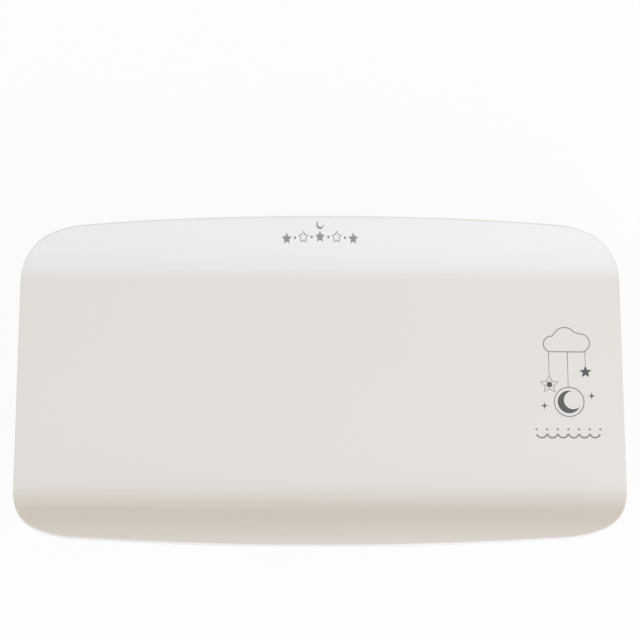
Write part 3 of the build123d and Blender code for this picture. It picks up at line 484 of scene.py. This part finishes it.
def crescent(middleX, middleY, radius, tilt, opening=50.0, shift=0.35):
    # outline of a moon: an outer arc, and an inner one that joins its tips; the mouth faces tilt
    turn = math.radians(tilt)
    reach = radius * math.cos(math.radians(opening)) - radius * shift
    rise = radius * math.sin(math.radians(opening))
    edge = math.degrees(math.atan2(rise, reach))
    innerX = middleX + radius * shift * math.cos(turn)
    innerY = middleY + radius * shift * math.sin(turn)
    outer = arc(middleX, middleY, radius, tilt + opening, tilt + 360 - opening, 30)
    return outer + arc(innerX, innerY, math.hypot(rise, reach), tilt + 360 - edge, tilt + edge, 24)[1:-1]


def curveMesh(name, lines, closed, **settings):
    # a curve of straight runs between points in millimetres, made into a mesh in metres
    data = bpy.data.curves.new(name, "CURVE")
    for key, value in settings.items():
        setattr(data, key, value)
    for line in lines:
        spline = data.splines.new("POLY")
        spline.points.add(len(line) - 1)
        for point, (x, y) in zip(spline.points, line):
            point.co = (x * mm, y * mm, 0.0, 1.0)
        spline.use_cyclic_u = closed
    holder = bpy.data.objects.new(name, data)
    bpy.context.scene.collection.objects.link(holder)
    mesh = bpy.data.meshes.new_from_object(holder.evaluated_get(bpy.context.evaluated_depsgraph_get()))
    bpy.data.objects.remove(holder)
    return mesh


def strokes(name, lines, width, closed=False):
    # lines of even width with a slightly rounded top
    section = {"bevel_depth": width * mm / 2, "bevel_resolution": 2, "use_fill_caps": True}
    mesh = curveMesh(name, lines, closed, dimensions="3D", **section)
    mesh.transform(Matrix.Diagonal((1, 1, 2 * inkLook["height"] / width, 1)))
    return mesh


def filled(name, outlines):
    return curveMesh(name, outlines, True, dimensions="2D", fill_mode="BOTH", extrude=inkLook["height"] * mm)


def joined(name, meshes, place):
    # one closed mesh from several, with doubles merged and faces turned outwards
    work = bmesh.new()
    for mesh in meshes:
        work.from_mesh(mesh)
        bpy.data.meshes.remove(mesh)
    bmesh.ops.remove_doubles(work, verts=work.verts, dist=mergeGap)
    bmesh.ops.recalc_face_normals(work, faces=work.faces)
    bmesh.ops.transform(work, matrix=place, verts=work.verts)
    mesh = bpy.data.meshes.new(name)
    work.to_mesh(mesh)
    work.free()
    return mesh


def piece(name, mesh, body, slot, *materials):
    for material in materials:
        mesh.materials.append(material)
    made = bpy.data.objects.new(name, mesh)
    bpy.context.scene.collection.objects.link(made)
    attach(made, body)


def drape(mesh, skin):
    # lays a flat print on the surface under it, by rays from 1 m up; heights count from that surface
    for vertex in mesh.vertices:
        spot, normal = skin.ray_cast(Vector((vertex.co.x, vertex.co.y, 1.0)), Vector((0, 0, -1)))[:2]
        vertex.co = spot + normal * vertex.co.z


def skinOf(name):
    mesh = nodes[name].data
    return BVHTree.FromPolygons([v.co.copy() for v in mesh.vertices], [p.vertices[:] for p in mesh.polygons])


# a hanging mobile of cloud, moon and stars, printed at the right end of the tray
mobileLook = {
    "place": (224.0, 11.0),  # its middle on the tray's floor, mm, from which all places here count
    "line": 0.95,
    "string": 0.6,
    "cloud": (  # one bump a line: its middle, radius, first and last angle, and points
        (-13, 26, 7.5, 250, 85, 14),
        (-1, 31, 10.5, 150, 35, 16),
        (13, 27, 8.5, 90, -80, 14),
    ),
    "strings": ((-16, 18.5, -2.5), (1, 18.5, -14.0), (17, 19.0, 6.0)),  # x, top and bottom
    "hollowStar": (-16, -11.5, 8.6),
    "starDot": 2.6,
    "moonRing": (1.5, -27.5, 13.4),
    "moonSize": 10.4,
    "moonTilt": 25,
    "moonMouth": 50,
    "moonShift": 0.38,
    "wholeStar": (17, 0, 5.8),
    "sparks": ((22, -22, 3.4), (-21, -31, 3.4)),
    "sparkShare": 0.3,
}


def printMobile(look, skin):
    starX, starY, starSize = look["hollowStar"]
    moonX, moonY, moonRing = look["moonRing"]
    cloud = [point for bump in look["cloud"] for point in arc(*bump)]
    outlines = [cloud, star(starX, starY, starSize), ring(moonX, moonY, moonRing, 36)]
    lines = strokes("mobileLines", outlines, look["line"], closed=True)
    strings = [[(x, top), (x, bottom)] for x, top, bottom in look["strings"]]
    threads = strokes("mobileStrings", strings, look["string"])
    moon = crescent(moonX, moonY, look["moonSize"], look["moonTilt"], look["moonMouth"], look["moonShift"])
    sparks = [star(*spark, share=look["sparkShare"], count=4) for spark in look["sparks"]]
    fills = [moon, star(*look["wholeStar"]), *sparks, ring(starX, starY, look["starDot"], 24)]
    solids = filled("mobileFills", fills)
    place = Matrix.Translation((look["place"][0] * mm, look["place"][1] * mm, 0))
    for name, meshes, color in (
        ("print_lines", [lines, threads], "line"),
        ("print_fills", [solids], "fill"),
    ):
        mesh = joined(name, meshes, place)
        drape(mesh, skin)
        piece(name, mesh, "platform", "tray_plastic", inkFinish(name + "Ink", color))


# a row of stars on the far lip, filled and hollow in turn, with a moon above the middle one
starRowLook = {
    "stars": 5,
    "pitch": 15.2,
    "starSize": 4.6,
    "starShare": 0.5,
    "dotSize": 1.1,
    "dotPoints": 12,
    "y": 133.6,  # middle of the row
    "bow": 1.4,  # how far its ends hang lower
    "line": 0.95,
    "moonY": 142.6,
    "moonSize": 3.3,
    "moonTilt": 60,
}


def printStarRow(look, skin):
    reach = look["pitch"] * (look["stars"] - 1) / 2
    whole, hollow = [], []
    for n in range(2 * look["stars"] - 1):
        x = n * look["pitch"] / 2 - reach
        y = look["y"] - look["bow"] * (x / reach) ** 2
        if n % 2:
            whole.append(ring(x, y, look["dotSize"], look["dotPoints"]))
        elif n % 4:
            hollow.append(star(x, y, look["starSize"], look["starShare"]))
        else:
            whole.append(star(x, y, look["starSize"], look["starShare"]))
    whole.append(crescent(0, look["moonY"], look["moonSize"], look["moonTilt"]))
    meshes = [strokes("hollow", hollow, look["line"], closed=True), filled("whole", whole)]
    mesh = joined("print_star_row", meshes, Matrix())
    drape(mesh, skin)
    piece("print_star_row", mesh, "platform", "tray_plastic", inkFinish("starRowInk", "line"))


# a scalloped line with a row of dots, under the mobile
waveLook = {
    "middle": (224.0, -47.0),
    "waves": 6,
    "pitch": 9.6,
    "line": 1.5,
    "scallop": (200, 340, 12),  # first and last angle of each scallop, and its points
    "scallopRise": 2.5,
    "dotSize": 1.0,
    "dotPoints": 12,
    "dotRise": 5.4,
}


def printWave(look, skin):
    middleX, middleY = look["middle"]
    wave, dots = [], []
    for n in range(look["waves"]):
        x = middleX + (n - (look["waves"] - 1) / 2) * look["pitch"]
        wave += arc(x, middleY + look["scallopRise"], look["pitch"] / 2, *look["scallop"])
    for n in range(look["waves"] + 1):
        x = middleX + (n - look["waves"] / 2) * look["pitch"]
        dots.append(ring(x, middleY + look["dotRise"], look["dotSize"], look["dotPoints"]))
    mesh = joined("print_wave", [strokes("wave", [wave], look["line"]), filled("dots", dots)], Matrix())
    drape(mesh, skin)
    piece("print_wave", mesh, "platform", "tray_plastic", inkFinish("waveInk", "line"))


traySkin = skinOf("tray")
printMobile(mobileLook, traySkin)
printStarRow(starRowLook, traySkin)
printWave(waveLook, traySkin)
print("tray print laid")

# the sloped front carries the key marks and the figures of the display
panelLean = math.radians(30.0)  # from upright
panelOut = Vector((0, -math.cos(panelLean), math.sin(panelLean)))
panelUp = Vector((0, math.sin(panelLean), math.cos(panelLean)))
lensLow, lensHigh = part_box("display_lens")
lensMiddle = (lensLow + lensHigh) / 2


def onPanel(name, x):
    # frame on a node's outer face, level with the middle of the lens; columns are right, up and out
    height = max(panelOut.dot(vertex.co) for vertex in nodes[name].data.vertices)
    spot = Vector((x, lensMiddle.y, lensMiddle.z))
    spot += panelOut * (height - panelOut.dot(spot))
    rows = zip(Vector((1, 0, 0)), panelUp, panelOut, spot)
    return Matrix([tuple(row) for row in rows] + [(0, 0, 0, 1)])


# marks on the key caps, in mm from the middle of a cap: lines are open, rings are closed, and fills are solid
markWidth = 0.55
keyMarks = {
    "power": {"lines": [arc(0, -0.2, 2.1, 125, 415, 24), [(0, 0.3), (0, 2.5)]]},
    "unit": {  # two arrows pointing opposite ways
        "lines": [
            [(-2.2, 0.9), (2.2, 0.9)],
            [(1.1, 2.0), (2.3, 0.9), (1.1, -0.1)],
            [(2.2, -1.1), (-2.2, -1.1)],
            [(-1.1, 0.0), (-2.3, -1.1), (-1.1, -2.2)],
        ],
    },
    "hold": {  # a padlock
        "lines": [[(-1.1, 0.2), *arc(0, 1.1, 1.1, 180, 0, 12), (1.1, 0.2)]],
        "fills": [[(-1.9, 0.1), (1.9, 0.1), (1.9, -2.4), (-1.9, -2.4)]],
    },
    "tare": {  # a nought between two arrows that point inwards
        "rings": [[(x * 0.72, y) for x, y in ring(0, 0, 1.9, 24)]],
        "fills": [[(side * 3.7, 0.95), (side * 2.3, 0.0), (side * 3.7, -0.95)] for side in (-1, 1)],
    },
}


def markMeshes(mark):
    made = [strokes(kind, mark[kind], markWidth, closed=kind == "rings") for kind in mark if kind != "fills"]
    if "fills" in mark:
        made.append(filled("fills", mark["fills"]))
    return made


keyInk = inkFinish("keyInk", "key")
for word, mark in keyMarks.items():
    low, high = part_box(word + "_button")
    mesh = joined(word + "_mark", markMeshes(mark), onPanel(word + "_button", (low.x + high.x) / 2))
    piece(word + "_mark", mesh, word + "_key", "key_plastic", keyInk)

# the display: seven-segment figures, lit ones that show the reading, and unlit ones that show faintly
figureLook = {
    "height": 11.4,
    "width": 6.2,
    "pitch": 9.9,
    "stroke": 1.7,
    "point": 0.49,  # how much of a stroke's width each corner of its pointed ends takes
    "gap": 0.22,  # between two segments
    "lean": 0.10,
    "start": -19.8,  # middle of the first figure
    "rise": 0.4,
    "lift": 0.04,  # above the glass
    "thickness": 0.03,
    "reading": ("0", "0", "0", "0"),
    "figures": 5,
    "dots": 3,  # decimal points, of which the first is lit
    "dotSize": 0.95,
    "dotShift": 0.5,
    "dotSides": 20,
}
segmentsOf = {"0": "abcdef"}


def segmentBar(work, length, look, place):
    # one bar of a figure, pointed at both ends
    made = bmesh.ops.create_cube(work, size=1.0)["verts"]
    bmesh.ops.scale(work, vec=(length * mm, look["stroke"] * mm, look["thickness"] * mm), verts=made)
    edges = {edge for vertex in made for edge in vertex.link_edges}
    level = 0.5 * look["thickness"] * mm  # an edge that rises by more than this is upright
    upright = [edge for edge in edges if abs(edge.verts[0].co.z - edge.verts[1].co.z) > level]
    corner = look["stroke"] * mm * look["point"]
    cut = bmesh.ops.bevel(
        work, geom=upright, offset=corner, segments=1, affect="EDGES", profile=0.5, material=-1
    )
    whole = set(made) | {vertex for face in cut["faces"] for vertex in face.verts}
    bmesh.ops.transform(work, matrix=place, verts=[vertex for vertex in whole if vertex.is_valid])


def figure(work, letters, x, look):
    side, quarter = look["width"] / 2, look["height"] / 4
    long = look["height"] / 2 - look["gap"]
    wide = look["width"] - look["gap"]
    spots = {  # middle of each segment and its turn
        "a": (0, 2 * quarter, 0),
        "b": (side, quarter, 90),
        "c": (side, -quarter, 90),
        "d": (0, -2 * quarter, 0),
        "e": (-side, -quarter, 90),
        "f": (-side, quarter, 90),
        "g": (0, 0, 0),
    }
    lean = Matrix.Identity(4)
    lean[0][1] = look["lean"]
    middle = Vector((x + look["lean"] * look["rise"], look["rise"], look["lift"])) * mm
    for letter in letters:
        spotX, spotY, turn = spots[letter]
        place = Matrix.Translation(middle) @ lean @ Matrix.Translation((spotX * mm, spotY * mm, 0))
        place @= Matrix.Rotation(math.radians(turn), 4, "Z")
        segmentBar(work, long if turn else wide, look, place)


def decimalPoint(work, x, look):
    size, height = look["dotSize"] * mm, look["thickness"] * mm
    made = bmesh.ops.create_cone(
        work, cap_ends=True, segments=look["dotSides"], radius1=size, radius2=size, depth=height
    )["verts"]
    spot = Vector((x - look["dotShift"], look["rise"] - look["height"] / 2, look["lift"])) * mm
    bmesh.ops.translate(work, vec=spot, verts=made)


def displayFigures(look):
    lit, unlit = bmesh.new(), bmesh.new()
    for n in range(look["figures"]):
        shown = segmentsOf[look["reading"][n]] if n < len(look["reading"]) else ""
        x = look["start"] + n * look["pitch"]
        figure(lit, shown, x, look)
        figure(unlit, [letter for letter in "abcdefg" if letter not in shown], x, look)
    for n in range(look["dots"]):
        decimalPoint(unlit if n else lit, look["start"] + (n + 0.5) * look["pitch"], look)
    glass = onPanel("lcd_glass", 0.0)
    for name, work, color in (("figures_lit", lit, "segment"), ("figures_unlit", unlit, "ghost")):
        bmesh.ops.transform(work, matrix=glass, verts=work.verts)
        bmesh.ops.recalc_face_normals(work, faces=work.faces)
        mesh = bpy.data.meshes.new(name)
        work.to_mesh(mesh)
        work.free()
        piece(name, mesh, "base", "lcd", inkFinish(name, color))


displayFigures(figureLook)
print("key marks and display figures made")

# the load cell bends as the tray sinks, its left end held and its right end going down with the tray; here
# its bar, gauges and sealant are remade, cut across the weak section and smoothed
cellBend = {
    "reach": 18.5,  # the weak section ends this far from the middle, mm
    "cuts": 12,
    "softAngle": 30.0,  # edges flatter than this are smooth
}


def bending(name, node, material, look):
    work = bmesh.new()
    work.from_mesh(nodes[node].data)
    bmesh.ops.remove_doubles(work, verts=work.verts, dist=mergeGap)
    for n in range(look["cuts"] + 1):
        x = look["reach"] * (2 * n / look["cuts"] - 1) * mm
        parts = work.verts[:] + work.edges[:] + work.faces[:]
        bmesh.ops.bisect_plane(work, geom=parts, dist=mergeGap, plane_co=(x, 0, 0), plane_no=(1, 0, 0))
    for face in work.faces:
        face.smooth = True
    for edge in work.edges:
        edge.smooth = edge.calc_face_angle(0.0) < math.radians(look["softAngle"])
    mesh = bpy.data.meshes.new(name)
    work.to_mesh(mesh)
    work.free()
    mesh.materials.append(material)
    bar = bpy.data.objects.new(name, mesh)
    bpy.context.scene.collection.objects.link(bar)
    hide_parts(node)
    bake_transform(bar)
    dressed.add(node)


bending("cell_bar", "load_cell", metal("cellAluminium", aluminiumLook), cellBend)
bending("cell_gauges", "strain_gauges", gaugeFoil(gaugeLook), cellBend)
bending("cell_sealant", "gauge_sealant", soft("sealant", sealantLook), cellBend)

cameraSetup = {
    "lens": 107.2,
    "sensor": 36.0,
    "place": (0.0, -0.3270, 1.7558),
    "tilt": 12.825,  # degrees from straight down, towards the rear
}


def makeCamera(setup):
    data = bpy.data.cameras.new("camera")
    data.sensor_width = setup["sensor"]
    data.lens = setup["lens"]
    camera = bpy.data.objects.new("camera", data)
    camera.location = setup["place"]
    camera.rotation_euler = (math.radians(setup["tilt"]), 0.0, 0.0)
    bpy.context.scene.collection.objects.link(camera)
    bpy.context.scene.camera = camera


studio = {
    "roomFront": (0.98, 1.055, 1.08),
    "roomRear": (0.67, 0.575, 0.437),
    "roomSpread": 0.7,  # how far from the middle the room's two tints are pure
    "floorColor": (0.88, 0.88, 0.88),
    "floorWhite": 0.9,  # share of plain white in the floor as it is seen
    "floorReach": 6.0,  # half its width, m
}


class Shading:
    # node wiring for the room and the floor, which have no Principled shader
    def __init__(self, owner):
        owner.use_nodes = True
        self.tree = owner.node_tree

    add = Finish.add
    feed = Finish.feed
    calc = Finish.calc
    mix = Finish.mix
    step = Finish.step

    def seen(self):  # 1 for what the camera sees straight, in a mirror or through glass
        names = ("Is Camera Ray", "Is Glossy Ray", "Is Transmission Ray")
        camera, glossy, through = (self.add("ShaderNodeLightPath", output=name) for name in names)
        return self.calc("MAXIMUM", self.calc("MAXIMUM", camera, glossy), through)

    def blend(self, share, low, high):
        return self.add("ShaderNodeMixShader", {}, {0: share, 1: low, 2: high})


def makeRoom(setup):
    world = bpy.data.worlds.new("room")
    bpy.context.scene.world = world
    room = Shading(world)
    way = room.add("ShaderNodeTexCoord", output="Generated")
    forward = room.add("ShaderNodeSeparateXYZ", {}, {0: way}, "Y")
    share = room.step(forward, -setup["roomSpread"], setup["roomSpread"])
    tint = room.mix(share, (*setup["roomFront"], 1), (*setup["roomRear"], 1))
    light = room.add("ShaderNodeBackground", {}, {"Color": tint})
    white = room.add("ShaderNodeBackground", {}, {"Color": (1, 1, 1, 1)})
    room.feed(room.tree.nodes["World Output"].inputs["Surface"], room.blend(room.seen(), light, white))


def makeFloor(setup):
    sheet = bmesh.new()
    bmesh.ops.create_grid(sheet, x_segments=1, y_segments=1, size=setup["floorReach"])
    mesh = bpy.data.meshes.new("floor")
    sheet.to_mesh(mesh)
    sheet.free()
    floor = bpy.data.objects.new("floor", mesh)
    bpy.context.scene.collection.objects.link(floor)
    material = bpy.data.materials.new("floorPaper")
    paper = Shading(material)
    matt = paper.add("ShaderNodeBsdfDiffuse", {}, {"Color": (*setup["floorColor"], 1)})
    white = paper.add("ShaderNodeEmission", {}, {"Color": (1, 1, 1, 1)})
    top = paper.blend(paper.calc("MULTIPLY", paper.seen(), setup["floorWhite"]), matt, white)
    # from below the floor is clear, for the eye and for the light that follows
    behind = paper.add("ShaderNodeNewGeometry", output="Backfacing")
    passed = paper.calc("GREATER_THAN", paper.add("ShaderNodeLightPath", output="Transparent Depth"), 0.5)
    clear = paper.add("ShaderNodeBsdfTransparent")
    whole = paper.blend(paper.calc("MAXIMUM", behind, passed), top, clear)
    paper.feed(paper.tree.nodes["Material Output"].inputs["Surface"], whole)
    mesh.materials.append(material)


# headings are degrees to the right of straight in front, and rises are degrees above the table
keyLamp = {
    "power": 10.6,
    "color": (0.813, 0.816, 1.0),
    "size": (1.5, 1.5),
    "heading": 35.0,
    "rise": 40.0,
    "distance": 1.8,
}
# a low strip behind the scale, which lights the rear of the base but stays under the tray's rim
rearLamp = {
    "power": 6.5,
    "color": (0.80, 0.90, 1.0),
    "size": (0.2, 0.04),
    "heading": 180.0,
    "rise": 1.1,
    "distance": 1.5,
}


def makeLamp(name, look):
    data = bpy.data.lights.new(name, "AREA")
    data.shape = "ELLIPSE"
    data.size, data.size_y = look["size"]
    data.energy = look["power"]
    data.color = look["color"]
    lamp = bpy.data.objects.new(name, data)
    heading, rise = math.radians(look["heading"]), math.radians(look["rise"])
    away = Vector((math.sin(heading) * math.cos(rise), -math.cos(heading) * math.cos(rise), math.sin(rise)))
    lamp.location = away * look["distance"]
    lamp.rotation_mode = "QUATERNION"
    lamp.rotation_quaternion = away.to_track_quat("Z", "Y")
    lamp.visible_camera = False
    bpy.context.scene.collection.objects.link(lamp)


makeCamera(cameraSetup)
makeRoom(studio)
makeFloor(studio)
makeLamp("key", keyLamp)
makeLamp("rearFill", rearLamp)
bpy.context.scene.view_settings.view_transform = "Standard"
print("camera, room and floor set; undressed nodes:", sorted(set(nodes) - dressed))
